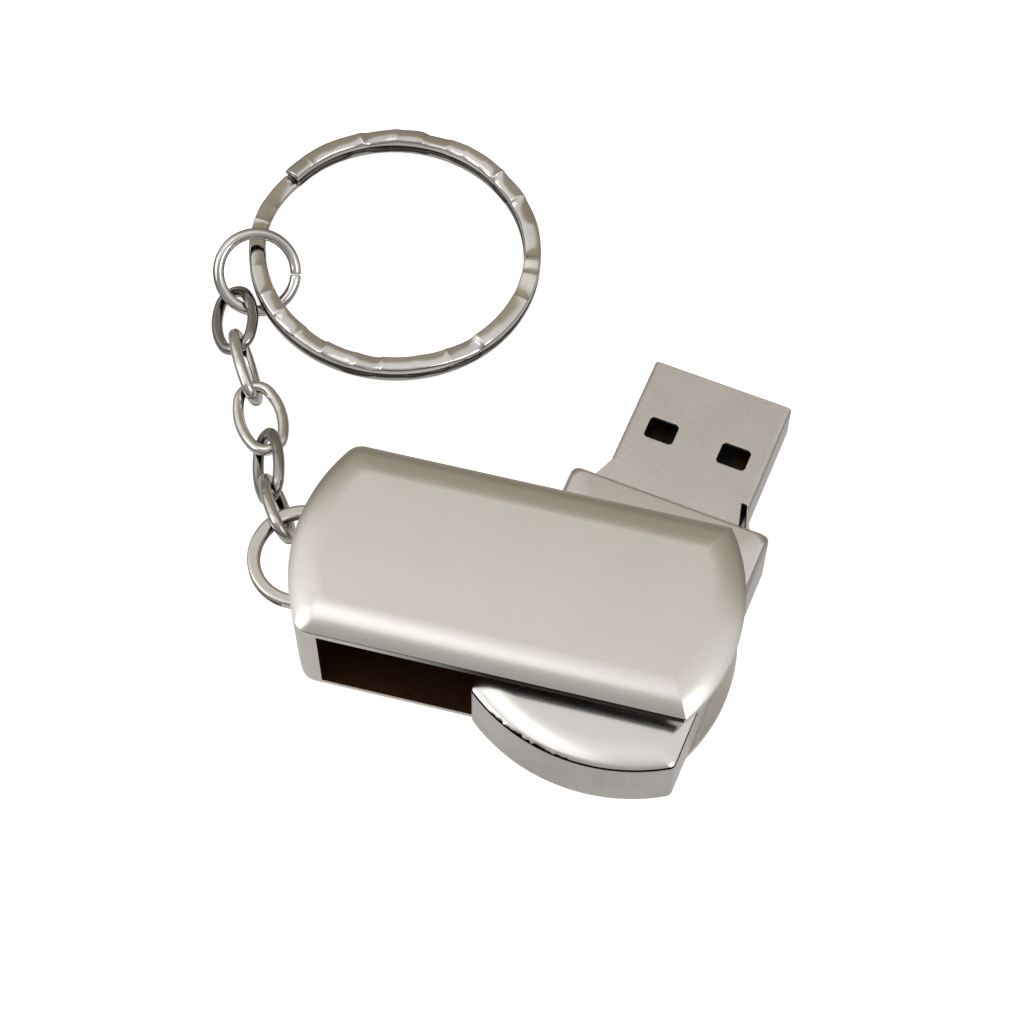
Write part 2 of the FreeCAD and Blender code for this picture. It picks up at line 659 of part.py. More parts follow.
def package(name, x, y, z, centre_x, centre_y, on_top):
    """A moulded package with a small chamfer round its free face."""
    bottom = BOARD_TOP if on_top else BOARD_BOTTOM + " - %s" % z
    blank = box(name + "_blank", str(x), str(y), str(z), str(centre_x), str(centre_y), bottom)
    doc.recompute()
    free = blank.Shape.BoundBox.ZMax if on_top else blank.Shape.BoundBox.ZMin
    chamfer = doc.addObject("Part::Chamfer", name + "_solid")
    chamfer.Base = blank
    chamfer.Edges = [(index, 0.12, 0.12)
                     for index, edge in enumerate(blank.Shape.Edges, start=1)
                     if is_flat_at(edge, free)]
    return keep(chamfer, name, BODY_POSE)


def chip_group(name, x, y, z, places):
    """Small two-ended parts under the board, as separate solids of one node."""
    pieces = [box("%s_%d" % (name, index), str(x), str(y), str(z), str(px), str(py),
                  BOARD_BOTTOM + " - %s" % z) for index, (px, py) in enumerate(places)]
    group = doc.addObject("Part::Compound", name + "_group")
    group.Links = pieces
    return keep(group, name, BODY_POSE)


def make_electronics():
    make_board()
    package("flash_memory_chip", 11.0, 13.0, 0.9, -4.2, 0, True)
    package("controller_chip", 6.0, 6.0, 0.8, -6.2, 0, False)
    package("crystal", 2.5, 3.2, 0.7, 2.9, 4.3, False)
    chip_group("capacitors", 1.6, 0.8, 0.8, [(-1.2, 4.8), (-1.2, 6.2), (-1.6, -4.6),
                                             (2.8, -3.6)])
    chip_group("resistors", 1.0, 0.5, 0.35, [(-6.6, 4.6), (-6.6, 5.8), (-6.6, -4.6),
                                             (1.2, -5.2)])


# ---------------------------------------------------------------- chain and rings
def rest_turn(heading, slope, roll):
    """Turn a piece that lies flat along +X to its heading, slope and roll."""
    return (Rotation(Vector(0, 0, 1), heading) * Rotation(Vector(0, 1, 0), -slope)
            * Rotation(Vector(1, 0, 0), roll))


def oval_arcs():
    """The four arcs of a link's centre line: two round ends and two flat sides."""
    length = size("link_half_length")
    width = size("link_half_width")
    end = size("link_end_radius")
    side = (((length - end) ** 2) / (width - end) + end + width) / 2
    turn = math.atan2(side - width, length - end)
    arcs = []
    for quarter, (centre, radius, half) in enumerate((
            (Vector(length - end, 0, 0), end, turn),
            (Vector(0, width - side, 0), side, math.pi / 2 - turn),
            (Vector(end - length, 0, 0), end, turn),
            (Vector(0, side - width, 0), side, math.pi / 2 - turn))):
        middle = quarter * math.pi / 2
        circle = Part.Circle(centre, Vector(0, 0, 1), radius)
        arcs.append(Part.ArcOfCircle(circle, middle - half, middle + half))
    return arcs


def make_link(number, centre, heading, slope, roll):
    """One oval link: round wire swept along a closed line of four arcs."""
    body = new_body("link_%d_body" % number)
    path = new_sketch(body, "link_%d_path" % number)
    path.addGeometry(oval_arcs(), False)
    section = body.newObject("Sketcher::SketchObject", "link_%d_wire" % number)
    section.AttachmentSupport = (plane_of(body, "XZ_Plane"), [""])
    section.MapMode = "FlatFace"
    section.addGeometry(Part.Circle(Vector(size("link_half_length"), 0, 0), Vector(0, 0, 1),
                                    size("link_wire") / 2), False)
    section.addConstraint(Sketcher.Constraint("PointOnObject", 0, 3, -1))
    fix(section, "Radius", 0, name="wire", value=0.5, formula="sizes.link_wire / 2")
    fix(section, "DistanceX", -1, 1, 0, 3, name="reach", value=size("link_half_length"),
        formula="sizes.link_half_length")
    doc.recompute()
    pipe = body.newObject("PartDesign::AdditivePipe", "link_%d_pipe" % number)
    pipe.Profile = section
    pipe.Spine = (path, ["Edge1", "Edge2", "Edge3", "Edge4"])
    body.Tip = pipe
    turn = rest_turn(heading, slope, roll)
    return keep(body, "chain_link_%d" % number, Placement(Vector(*centre), turn))


def make_jump_ring():
    """A round wire ring, cut at one place and closed again to a fine gap."""
    ring = doc.addObject("Part::Torus", "jump_ring_solid")
    bind(ring, Radius1="sizes.jump_radius", Radius2="sizes.jump_wire / 2")
    ring.Angle3 = 360 - JUMP_GAP
    spin = Rotation(Vector(0, 0, 1), JUMP_GAP_ANGLE)
    turn = rest_turn(JUMP_HEADING, JUMP_TILT, 0) * spin
    return keep(ring, "jump_ring", Placement(JUMP_CENTRE, turn))


def ring_sector(start, sweep, level):
    """One flat turn of the split ring, as part of a circle."""
    strip = size("ring_strip")
    inner = size("ring_radius") - strip / 2
    section = Part.makePolygon([
        Vector(inner, 0, level), Vector(inner + strip, 0, level),
        Vector(inner + strip, 0, level + size("ring_turn")),
        Vector(inner, 0, level + size("ring_turn")), Vector(inner, 0, level)])
    sector = Part.Face(section).revolve(Vector(0, 0, 0), Vector(0, 0, 1), sweep)
    sector.rotate(Vector(0, 0, 0), Vector(0, 0, 1), start)
    return sector


def ring_crossover(start, sweep):
    """The short climb from the lower turn to the upper one."""
    radius = size("ring_radius")
    pitch = size("ring_pitch") * 360.0 / sweep
    helix = Part.makeHelix(pitch, size("ring_pitch"), radius)
    strip = size("ring_strip")
    half_turn = size("ring_turn") / 2
    section = Part.makePolygon([
        Vector(radius - strip / 2, 0, -half_turn), Vector(radius + strip / 2, 0, -half_turn),
        Vector(radius + strip / 2, 0, half_turn), Vector(radius - strip / 2, 0, half_turn),
        Vector(radius - strip / 2, 0, -half_turn)])
    sweeper = Part.BRepOffsetAPI.MakePipeShell(Part.Wire(helix))
    sweeper.setBiNormalMode(Vector(0, 0, 1))
    sweeper.add(section)
    sweeper.build()
    sweeper.makeSolid()
    climb = sweeper.shape()
    climb.rotate(Vector(0, 0, 0), Vector(0, 0, 1), start)
    climb.translate(Vector(0, 0, half_turn))
    return climb


def make_split_ring():
    """Two turns of flat wire: a lower turn, a short climb and an upper turn."""
    after = RING_END_ANGLE + RING_CROSSOVER
    turn_sweep = 360 - RING_CROSSOVER
    lower = ring_sector(after, turn_sweep, 0.0)
    upper = ring_sector(after, turn_sweep, size("ring_pitch"))
    climb = ring_crossover(RING_END_ANGLE, RING_CROSSOVER)
    solid = upper.fuse([climb, lower]).removeSplitter()
    feature = doc.addObject("Part::Feature", "split_ring_solid")
    feature.Shape = solid.Solids[0] if len(solid.Solids) == 1 else solid
    reach = size("ring_radius") + size("ring_strip") / 2
    heading = math.radians(RING_LIFT_HEADING)
    tilt_axis = Vector(math.sin(heading), -math.cos(heading), 0)
    tilt = Rotation(tilt_axis, math.degrees(math.asin(RING_LIFT / (2 * reach))))
    centre = RING_CENTRE + Vector(0, 0, RING_LIFT / 2)
    return keep(feature, "split_ring", Placement(centre, tilt))


# ---------------------------------------------------------------- build and write
make_cover_frame()
make_top_cap()
make_swivel()
make_tray()
make_lid()
make_plug_shell()
make_insulator()
make_contacts()
make_electronics()
for number, (centre, heading, slope, roll) in enumerate(LINK_POSES, start=1):
    make_link(number, centre, heading, slope, roll)
make_jump_ring()
make_split_ring()
doc.recompute()

for obj in doc.Objects:
    if "Invalid" in obj.State or "Error" in obj.State:
        raise RuntimeError("%s failed: %s" % (obj.Name, obj.State))
for node in nodes:
    shape = node.Shape
    if shape.isNull() or not shape.isValid() or not shape.Solids:
        raise RuntimeError("%s has no valid shape" % node.Label)

for node in nodes:
    node.Shape.exportStep("parts/%s.step" % node.Label)
    bounds = node.Shape.optimalBoundingBox()
    print("%-22s solids %d volume %8.2f  x %7.2f %7.2f  y %7.2f %7.2f  z %6.2f %6.2f" % (
        node.Label, len(node.Shape.Solids), node.Shape.Volume, bounds.XMin, bounds.XMax,
        bounds.YMin, bounds.YMax, bounds.ZMin, bounds.ZMax))
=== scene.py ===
import math

import bpy
import numpy as np
from mathutils import Matrix, Quaternion, Vector


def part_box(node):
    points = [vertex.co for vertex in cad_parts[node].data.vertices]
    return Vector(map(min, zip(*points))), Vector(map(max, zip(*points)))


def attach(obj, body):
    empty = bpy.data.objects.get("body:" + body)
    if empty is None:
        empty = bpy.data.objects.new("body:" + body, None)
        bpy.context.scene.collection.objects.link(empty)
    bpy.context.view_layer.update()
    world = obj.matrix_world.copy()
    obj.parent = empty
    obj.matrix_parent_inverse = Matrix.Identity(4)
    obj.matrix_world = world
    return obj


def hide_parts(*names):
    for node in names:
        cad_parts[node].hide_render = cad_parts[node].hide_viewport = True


# Looks for the swivel flash drive on its key chain. The frame is the CAD's own. Lengths are in
# millimetres and angles in degrees unless a comment says otherwise, and MM turns them into metres.
MM = 0.001

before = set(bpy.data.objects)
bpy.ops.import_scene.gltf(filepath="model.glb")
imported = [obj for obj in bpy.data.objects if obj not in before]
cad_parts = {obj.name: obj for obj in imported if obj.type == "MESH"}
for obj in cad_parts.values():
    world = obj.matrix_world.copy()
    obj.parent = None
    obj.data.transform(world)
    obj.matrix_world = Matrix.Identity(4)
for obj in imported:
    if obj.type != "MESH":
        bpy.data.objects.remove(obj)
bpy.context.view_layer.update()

# ---------------------------------------------------------------- camera
CAMERA_AZIMUTH = 14.0
CAMERA_ELEVATION = 62.27
CAMERA_ROLL = 0.15
CAMERA_TARGET = (-11.63, 10.78, 0.0)
CAMERA_DISTANCE = 219.97
CAMERA_LENS = 92.26
CAMERA_SENSOR = 36.0


# ---------------------------------------------------------------- node helpers
class Nodes:
    """Short ways to add and join shader nodes in one material."""

    base = None
    rough = None

    def __init__(self, name):
        self.material = bpy.data.materials.new(name)
        self.material.use_nodes = True
        self.tree = self.material.node_tree
        self.tree.nodes.clear()
        self.output = self.tree.nodes.new("ShaderNodeOutputMaterial")
        self.shader = self.tree.nodes.new("ShaderNodeBsdfPrincipled")
        self.tree.links.new(self.shader.outputs["BSDF"], self.output.inputs["Surface"])
        self.coords = self.tree.nodes.new("ShaderNodeTexCoord")

    def add(self, kind, **values):
        node = self.tree.nodes.new(kind)
        for key, value in values.items():
            setattr(node, key, value)
        return node

    def put(self, source, target):
        self.tree.links.new(source, target)

    def scaled(self, scale, turn=0.0):
        """The object's coordinates, turned about Z by degrees and then scaled per axis."""
        spin = self.add("ShaderNodeMapping")
        spin.inputs["Rotation"].default_value = (0, 0, math.radians(-turn))
        stretch = self.add("ShaderNodeMapping")
        stretch.inputs["Scale"].default_value = scale
        self.put(self.coords.outputs["Object"], spin.inputs["Vector"])
        self.put(spin.outputs["Vector"], stretch.inputs["Vector"])
        return stretch.outputs["Vector"]

    def noise(self, vector, scale=1.0, detail=4.0, roughness=0.5):
        """Noise about 0.5, mostly between 0.3 and 0.7."""
        node = self.add("ShaderNodeTexNoise")
        node.inputs["Scale"].default_value = scale
        node.inputs["Detail"].default_value = detail
        node.inputs["Roughness"].default_value = roughness
        self.put(vector, node.inputs["Vector"])
        return node.outputs["Fac"]

    def spread(self, value, low, high, source_low=0.3, source_high=0.7):
        """The value taken from its source range to low and high, and held inside them."""
        node = self.add("ShaderNodeMapRange")
        node.inputs["From Min"].default_value = source_low
        node.inputs["From Max"].default_value = source_high
        node.inputs["To Min"].default_value = low
        node.inputs["To Max"].default_value = high
        self.put(value, node.inputs["Value"])
        return node.outputs["Result"]

    def blend(self, factor, first, second):
        """From the first colour at 0 to the second at 1."""
        node = self.add("ShaderNodeMix", data_type="RGBA")
        node.inputs["A"].default_value = (*first, 1)
        node.inputs["B"].default_value = (*second, 1)
        self.put(factor, node.inputs["Factor"])
        return node.outputs["Result"]

    def math(self, operation, first, second):
        """One Math node; each operand is a socket or a number."""
        node = self.add("ShaderNodeMath", operation=operation)
        for socket, value in zip(node.inputs, (first, second)):
            if isinstance(value, (int, float)):
                socket.default_value = value
            else:
                self.put(value, socket)
        return node.outputs["Value"]

    def between(self, value, low, high, soft=0.005):
        """1 where the value lies between low and high, 0 elsewhere."""
        return self.math("MULTIPLY", self.spread(value, 0, 1, low - soft, low + soft),
                         self.spread(value, 1, 0, high - soft, high + soft))

    def places(self, turn=0.0):
        """X, Y and Z in millimetres in the frame, or in one turned about Z by degrees."""
        split = self.add("ShaderNodeSeparateXYZ")
        self.put(self.scaled((1 / MM, 1 / MM, 1 / MM), turn), split.inputs["Vector"])
        return split.outputs["X"], split.outputs["Y"], split.outputs["Z"]

    def layer(self, name):
        """A number that the mesh stores per point."""
        return self.add("ShaderNodeAttribute", attribute_name=name).outputs["Fac"]

    def cover(self, mask, colour, rough):
        """Paint shade over the metal where the mask is 1, with a dull dark colour and roughness."""
        mix = self.add("ShaderNodeMix", data_type="RGBA")
        mix.inputs["B"].default_value = (*colour, 1)
        self.put(mask, mix.inputs["Factor"])
        self.put(self.base, mix.inputs["A"])
        self.base = mix.outputs["Result"]
        worn = self.add("ShaderNodeMix", data_type="FLOAT")
        worn.inputs["B"].default_value = rough
        self.put(mask, worn.inputs["Factor"])
        self.put(self.rough, worn.inputs["A"])
        self.rough = worn.outputs["Result"]

    def join(self, metallic):
        """Join the layered values to the shader."""
        self.put(self.base, self.shader.inputs["Base Color"])
        self.put(self.rough, self.shader.inputs["Roughness"])
        self.shader.inputs["Metallic"].default_value = metallic
        return self.material

    def bump(self, height, strength, distance, normal=None):
        """A normal raised by a height of up to that distance in millimetres."""
        node = self.add("ShaderNodeBump")
        node.inputs["Strength"].default_value = strength
        node.inputs["Distance"].default_value = distance * MM
        self.put(height, node.inputs["Height"])
        if normal is not None:
            self.put(normal, node.inputs["Normal"])
        return node.outputs["Normal"]


def metal(name, light, dark, rough, grain, turn=0.0, bump=0.2, speckle=0.0, edge=0.0):
    """Plated metal with a grain, a slow colour drift, wear in the roughness and fine pits."""
    n = Nodes(name)
    drift = n.noise(n.scaled((1, 1, 1), turn), scale=140.0, detail=3.0)
    brush = n.noise(n.scaled(grain, turn), scale=1.0, detail=6.0, roughness=0.6)
    tint = n.math("ADD", n.spread(drift, 0.0, 0.6), n.spread(brush, 0.0, 0.4))
    n.base = n.blend(tint, dark, light)
    n.rough = n.spread(brush, rough * 0.85, rough * 1.18)
    normal = None
    if edge:
        soften = n.add("ShaderNodeBevel", samples=6)
        soften.inputs["Radius"].default_value = edge * MM
        normal = soften.outputs["Normal"]
    normal = n.bump(brush, bump, 0.010, normal)
    if speckle:
        pits = n.noise(n.scaled((1, 1, 1)), scale=5200.0, detail=2.0)
        normal = n.bump(pits, speckle, 0.012, normal)
    n.put(normal, n.shader.inputs["Normal"])
    return n


def plain(name, light, dark, rough, scale=900.0, bump=0.2):
    """Moulded, printed or fired material with a fine uneven surface."""
    n = Nodes(name)
    grain = n.noise(n.scaled((1, 1, 1)), scale=scale, detail=5.0)
    n.base = n.blend(n.spread(grain, 0, 1), dark, light)
    n.rough = n.spread(grain, rough * 0.85, rough * 1.15)
    n.put(n.bump(grain, bump, 0.02), n.shader.inputs["Normal"])
    return n.join(0.0)


# ---------------------------------------------------------------- shared sizes
cap_low, cap_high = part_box("top_cap_plate")
lid_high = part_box("body_lid")[1]
COVER_HALF = cap_high[1] / MM
DRIVE_TURN = 81.5           # the drive's heading at rest
SWING_RADIUS = 24.1         # the stowing space's end, from the swivel axis
FLOOR_TOP = 1.4             # the stowing space's floor
LEAF_BOTTOM = 9.4           # the underside of the cover's top leaf
LEAF_OPEN_END = 6.8         # where the painted shadow on that leaf's rim stops
BODY_SEAM = 8.0             # the level at which lid and tray meet
PLUG_LEVEL = 5.475          # the plug's mid-plane
PLUG_INSIDE_HALF = 1.96
PLUG_INSIDE_WIDE_HALF = 5.71
EYE_ROOT = -26.8            # where the eye leaves the post
EYE_WALL_TOP = 5.5

# ---------------------------------------------------------------- materials
# grains per metre along a brushed face and across it
SLOW = 500.0
FINE = 22000.0
ALONG_COVER = (SLOW, FINE, FINE)
# colours of painted shade, for hollows, seams, rims and undersides
SHADOW_BROWN = (0.075, 0.025, 0.007)
NEAR_BLACK = (0.008, 0.005, 0.003)
BELOW_ALL = -100.0          # under every place on the object
SKIN = 0.01                 # margins that take a wall's own surface into or out of a mask
DEEP_SKIN = 0.03


def make_cap_metal():
    """Warm nickel plate, brushed along the cover."""
    n = metal("brushed_cap", (0.955, 0.918, 0.872), (0.90, 0.862, 0.815), 0.25, ALONG_COVER,
              bump=0.16, speckle=0.03)
    return n.join(1.0)


def make_cover_metal():
    """Nickel plate outside; painted shade darkens the stowing space, the post's wall behind the eye
    and the rim beside the drive.
    """
    n = metal("plated_cover", (0.84, 0.81, 0.76), (0.76, 0.73, 0.68), 0.24,
              (900.0, 900.0, 900.0), bump=0.05, speckle=0.04, edge=0.10)
    x, y, z = n.places()
    across = n.math("ABSOLUTE", y, 0.0)
    from_axis = n.math("SQRT", n.math("ADD", n.math("MULTIPLY", x, x), n.math("MULTIPLY", y, y)),
                       0.0)
    inside = n.math("MULTIPLY", n.between(from_axis, BELOW_ALL, SWING_RADIUS + DEEP_SKIN),
                    n.between(across, BELOW_ALL, COVER_HALF - DEEP_SKIN))
    inside = n.math("MULTIPLY", inside, n.between(z, FLOOR_TOP - SKIN, LEAF_BOTTOM + SKIN))
    streaks = n.noise(n.scaled((1800.0, 1800.0, 200.0)), scale=1.0, detail=3.0)
    # painted shade in the stowing space, full behind the swivel and fading out before the open end
    depth = n.math("MULTIPLY", n.spread(x, 1.0, 0.05, -1.0, 6.0), n.spread(streaks, 0.97, 1.0))
    n.cover(n.math("MULTIPLY", inside, depth), SHADOW_BROWN, 0.6)
    # painted shade on the post's lower wall, behind the eye
    eye_wall = n.math("MULTIPLY", n.between(x, BELOW_ALL, EYE_ROOT), n.between(z, 0.0, EYE_WALL_TOP))
    n.cover(n.math("MULTIPLY", eye_wall, n.spread(streaks, 0.75, 1.0)), SHADOW_BROWN, 0.4)
    # painted shadow on the top leaf's side, darkening from the middle of the stowing space to the
    # drive
    rim = n.math("MULTIPLY", n.between(across, COVER_HALF - 0.4, COVER_HALF + 1.0),
                 n.spread(x, 0.0, 0.97, -19.0, -9.0))
    rim = n.math("MULTIPLY", rim, n.between(z, LEAF_BOTTOM - SKIN, LEAF_BOTTOM + 1.0))
    rim = n.math("MULTIPLY", rim, n.between(x, BELOW_ALL, LEAF_OPEN_END))
    n.cover(rim, NEAR_BLACK, 0.6)
    return n.join(1.0)


def make_tray_metal():
    """Satin grey wall; the ledge under the lid's edge is painted near black at the rear as the shade
    in the seam, and reads as a dark line.
    """
    n = metal("drawn_side_metal", (0.74, 0.705, 0.68), (0.52, 0.49, 0.47), 0.26,
              (1500.0, 1500.0, 70.0), bump=0.45, speckle=0.05, edge=0.30)
    x, y, z = n.places(DRIVE_TURN)
    ledge = n.between(z, BODY_SEAM - DEEP_SKIN, BODY_SEAM + 1.0)
    # painted shade in the seam under the lid, full at the rear and gone by the middle of the drive
    n.cover(n.math("MULTIPLY", ledge, n.spread(x, 1.0, 0.0, -9.0, 0.0)), NEAR_BLACK, 0.7)
    return n.join(1.0)


def make_plug_metal():
    """Matt nickel with fine grit; painted shade darkens the inside of the shell."""
    n = metal("plug_nickel", (0.86, 0.815, 0.775), (0.72, 0.68, 0.648), 0.38,
              (3800.0, 3800.0, 3800.0), bump=0.3, speckle=0.9, edge=0.12)
    x, y, z = n.places(DRIVE_TURN)
    height = n.math("ABSOLUTE", n.math("SUBTRACT", z, PLUG_LEVEL), 0.0)
    inside = n.math("MULTIPLY", n.between(height, BELOW_ALL, PLUG_INSIDE_HALF),
                    n.between(n.math("ABSOLUTE", y, 0.0), BELOW_ALL, PLUG_INSIDE_WIDE_HALF))
    # painted shade on the shell's inner walls
    n.cover(inside, SHADOW_BROWN, 0.6)
    return n.join(1.0)


def make_wire_metal(name, light, dark, rough):
    """Bright nickel wire, with shade painted in by two per-point layers: a tone that varies and
    darkens some pieces, and a layer that darkens low and hidden places.
    """
    n = metal(name, light, dark, rough, (1500.0, 1500.0, 1500.0), bump=0.10, speckle=0.05)
    # the per-point tone: painted shade on whole links and on the split ring's lower turn, and a slow
    # variation along the wire
    tone = n.add("ShaderNodeMix", data_type="RGBA", blend_type="MULTIPLY")
    tone.inputs["Factor"].default_value = 1.0
    shade = n.layer("tone")
    grey = n.add("ShaderNodeCombineColor")
    for socket in grey.inputs:
        n.put(shade, socket)
    n.put(n.base, tone.inputs["A"])
    n.put(grey.outputs["Color"], tone.inputs["B"])
    n.base = tone.outputs["Result"]
    # painted shade on the wire's low and hidden places
    n.cover(n.layer("painted_shade"), NEAR_BLACK, 0.5)
    return n.join(1.0)


cap_metal = make_cap_metal()
cover_metal = make_cover_metal()
side_metal = make_tray_metal()
plug_metal = make_plug_metal()
lid_metal = metal("polished_lid_metal", (0.945, 0.91, 0.89), (0.885, 0.852, 0.832), 0.19,
                  ALONG_COVER, turn=DRIVE_TURN, bump=0.04, speckle=0.03).join(1.0)
chain_metal = make_wire_metal("chain_nickel", (0.98, 0.95, 0.92), (0.80, 0.765, 0.73), 0.13)
ring_metal = make_wire_metal("ring_nickel", (0.98, 0.945, 0.91), (0.76, 0.72, 0.68), 0.11)
rivet_metal = metal("rivet_steel", (0.60, 0.60, 0.60), (0.45, 0.45, 0.45), 0.35,
                    (1800.0, 1800.0, 1800.0)).join(1.0)
can_metal = metal("can_steel_metal", (0.80, 0.80, 0.79), (0.70, 0.70, 0.69), 0.30,
                  (1200.0, 1200.0, 1200.0)).join(1.0)
# the contacts' gold is painted this dark as the shade inside the plug's windows
shaded_gold = metal("contact_gold", (0.10, 0.055, 0.028), (0.05, 0.028, 0.014), 0.5,
             (900.0, 9000.0, 9000.0)).join(1.0)
nylon = plain("washer_nylon", (0.020, 0.016, 0.013), (0.010, 0.008, 0.007), 0.5)
insulator_plastic = plain("insulator_plastic", (0.012, 0.010, 0.009), (0.006, 0.005, 0.004), 0.5)
resin = plain("chip_epoxy", (0.035, 0.035, 0.037), (0.018, 0.018, 0.019), 0.55)
mask = plain("solder_mask", (0.02, 0.17, 0.07), (0.01, 0.11, 0.04), 0.3, scale=300.0)
ceramic = plain("fired_ceramic", (0.50, 0.38, 0.24), (0.38, 0.28, 0.17), 0.5)

# the nodes that detailed pieces stand in for are listed too, though they stay hidden
NODE_MATERIALS = {
    "cover_frame": cover_metal, "top_cap_plate": cap_metal,
    "upper_pivot_rivet": rivet_metal, "lower_pivot_rivet": rivet_metal,
    "upper_friction_washer": nylon, "lower_friction_washer": nylon,
    "body_lid": lid_metal, "body_tray": side_metal, "plug_shell": plug_metal,
    "plug_insulator": insulator_plastic, "plug_contacts": shaded_gold, "circuit_board": mask,
    "flash_memory_chip": resin, "controller_chip": resin, "crystal": can_metal,
    "capacitors": ceramic, "resistors": resin, "jump_ring": chain_metal,
    "split_ring": ring_metal,
}
for number in range(1, 6):
    NODE_MATERIALS["chain_link_%d" % number] = chain_metal

for name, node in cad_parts.items():
    for slot in node.material_slots:
        slot.material = NODE_MATERIALS[name]


# ---------------------------------------------------------------- mesh helpers
def new_mesh(name, points, faces, material, smooth=True, sharp=(), layers=None):
    """A mesh, with chosen edges kept crisp and named layers of numbers, one per point."""
    mesh = bpy.data.meshes.new(name)
    mesh.from_pydata([tuple(c * MM for c in p) for p in points], [], faces)
    mesh.materials.append(material)
    if smooth:
        mesh.shade_smooth()
    if sharp:
        crisp = {tuple(sorted(pair)) for pair in sharp}
        flags = [tuple(sorted(edge.vertices)) in crisp for edge in mesh.edges]
        layer = mesh.attributes.get("sharp_edge") or mesh.attributes.new(
            "sharp_edge", "BOOLEAN", "EDGE")
        layer.data.foreach_set("value", flags)
    for label, values in (layers or {}).items():
        mesh.attributes.new(label, "FLOAT", "POINT").data.foreach_set("value", values)
    mesh.validate()
    obj = bpy.data.objects.new(name, mesh)
    bpy.context.scene.collection.objects.link(obj)
    return obj


def loft(loops, cyclic, crisp_loops=()):
    """Faces through loops with equal numbers of points, and the edges to keep crisp."""
    count = len(loops[0])
    points = [p for loop in loops for p in loop]
    faces = []
    last = len(loops) if cyclic else len(loops) - 1
    for i in range(last):
        nxt = (i + 1) % len(loops)
        for j in range(count):
            k = (j + 1) % count
            faces.append((i * count + j, i * count + k, nxt * count + k, nxt * count + j))
    sharp = [(i * count + j, i * count + (j + 1) % count)
             for i in crisp_loops for j in range(count)]
    if not cyclic:
        faces.append(tuple(reversed(range(count))))
        faces.append(tuple((len(loops) - 1) * count + j for j in range(count)))
    return points, faces, sharp


def rest_turn(heading, slope, roll):
    """Turn a piece that lies flat along +X to its heading, slope and roll, in degrees."""
    return (Matrix.Rotation(math.radians(heading), 3, "Z")
            @ Matrix.Rotation(math.radians(-slope), 3, "Y")
            @ Matrix.Rotation(math.radians(roll), 3, "X"))


# ---------------------------------------------------------------- plan outlines
CORNER_STEPS = 8
END_STEPS = 64
SIDE_STEPS = 24


def arc_points(centre, radius, first, last, steps):
    """Points round a centre from the first angle to the last, in radians, both included."""
    angles = [first + (last - first) * k / steps for k in range(steps + 1)]
    return [(centre[0] + radius * math.cos(a), centre[1] + radius * math.sin(a)) for a in angles]


def bulging_end(half, centre, radius, corner):
    """From the lower side to the upper one, round an arc towards +X with rounded corners."""
    reach = math.sqrt((radius - corner) ** 2 - (half - corner) ** 2)
    swing = math.asin((half - corner) / (radius - corner))
    line = arc_points((centre + reach, corner - half), corner, -math.pi / 2, -swing,
                      CORNER_STEPS)
    line += arc_points((centre, 0.0), radius, -swing, swing, END_STEPS)[1:-1]
    return line + arc_points((centre + reach, half - corner), corner, swing, math.pi / 2,
                             CORNER_STEPS)


def flat_end(half, place, corner):
    """The same for a straight end."""
    line = arc_points((place - corner, corner - half), corner, -math.pi / 2, 0, CORNER_STEPS)
    run = half - corner
    line += [(place, run * (2 * k / END_STEPS - 1)) for k in range(1, END_STEPS)]
    return line + arc_points((place - corner, half - corner), corner, 0, math.pi / 2,
                             CORNER_STEPS)


def join_ends(right, left):
    """A closed outline, anticlockwise, from a right end and a left end drawn as a right one."""
    back = [(-x, y) for x, y in reversed(left)]
    outline = list(right)
    for start, stop, following in ((right[-1], back[0], back), (back[-1], right[0], [])):
        outline += [(start[0] + (stop[0] - start[0]) * k / SIDE_STEPS,
                     start[1] + (stop[1] - start[1]) * k / SIDE_STEPS)
                    for k in range(1, SIDE_STEPS)]
        outline += following
    return outline


def crown(height, edge_angle, ease, steps=18):
    """A bevel that grows from flat to edge_angle: (inset, height) pairs from its outer edge."""
    slopes = [math.radians(edge_angle) * ((k + 0.5) / steps) ** ease for k in range(steps)]
    pace = height / sum(math.sin(slope) for slope in slopes)
    line = [(0.0, 0.0)]
    for slope in slopes:
        line.append((line[-1][0] + pace * math.cos(slope), line[-1][1] + pace * math.sin(slope)))
    run, drop = line[-1]
    return [(run - across, drop - down) for across, down in reversed(line)]


# ---------------------------------------------------------------- cap plate
END_RADIUS = 15.2
POST_CORNER = 1.5
OPEN_CORNER = 0.12
CAP_EDGE_ANGLE = 40.0
CAP_EASE = 1.05
POST_CORNER_SHRINK = 0.2


def make_cap_plate():
    """The brushed face plate: a bevel that eases out of the flat, and soft corners."""
    low = cap_low[2] / MM
    height = cap_high[2] / MM - low
    open_centre = cap_high[0] / MM - END_RADIUS
    post_centre = -cap_low[0] / MM - END_RADIUS
    loops = []
    for inset, up in crown(height, CAP_EDGE_ANGLE, CAP_EASE):
        half = COVER_HALF - inset
        radius = END_RADIUS - inset
        right = bulging_end(half, open_centre, radius, OPEN_CORNER)
        left = bulging_end(half, post_centre, radius, POST_CORNER - POST_CORNER_SHRINK * inset)
        loops.append([(x, y, low + up) for x, y in join_ends(right, left)])
    points, faces, sharp = loft(loops, False, (0,))
    obj = new_mesh("cap_plate_face", points, faces, cap_metal, sharp=sharp)
    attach(obj, "cover")
    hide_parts("top_cap_plate")
    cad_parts["top_cap_plate"].hide_render = True


make_cap_plate()

